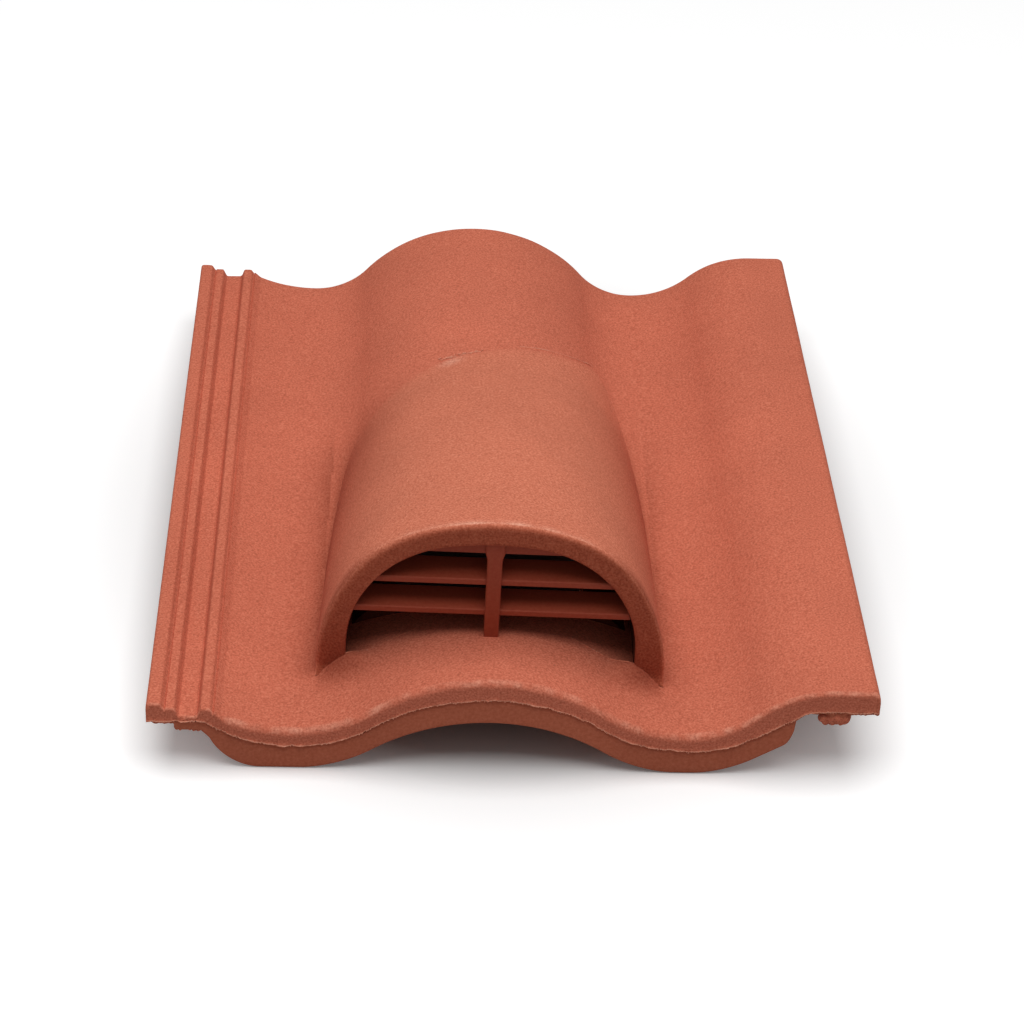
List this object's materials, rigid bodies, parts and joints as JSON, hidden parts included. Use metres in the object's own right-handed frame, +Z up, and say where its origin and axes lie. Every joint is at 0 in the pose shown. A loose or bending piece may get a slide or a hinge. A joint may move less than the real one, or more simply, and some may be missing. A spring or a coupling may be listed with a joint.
{
  "type": "roof tile vent",
  "caption": "Interlocking concrete roof tile with a half-round ventilation hood bedded on its roll and a louvred insert in the hood's mouth.",
  "frame": {"origin": "middle of the tile's footprint, on the plane that its nose and nibs rest on", "axes": "+X across the tile from the side lock to the cover roll, +Y up the roof slope from the nose to the head, +Z up from the resting plane"},
  "size_m": [0.33, 0.42, 0.1108],
  "materials": {
    "tile_concrete": "matte",
    "hood_concrete": "matte",
    "louvre_plastic": "satin"
  },
  "bodies": {
    "root": {"tile": "tile_concrete", "hood": "hood_concrete", "louvre_grille": "louvre_plastic"}
  },
  "joints": []
}
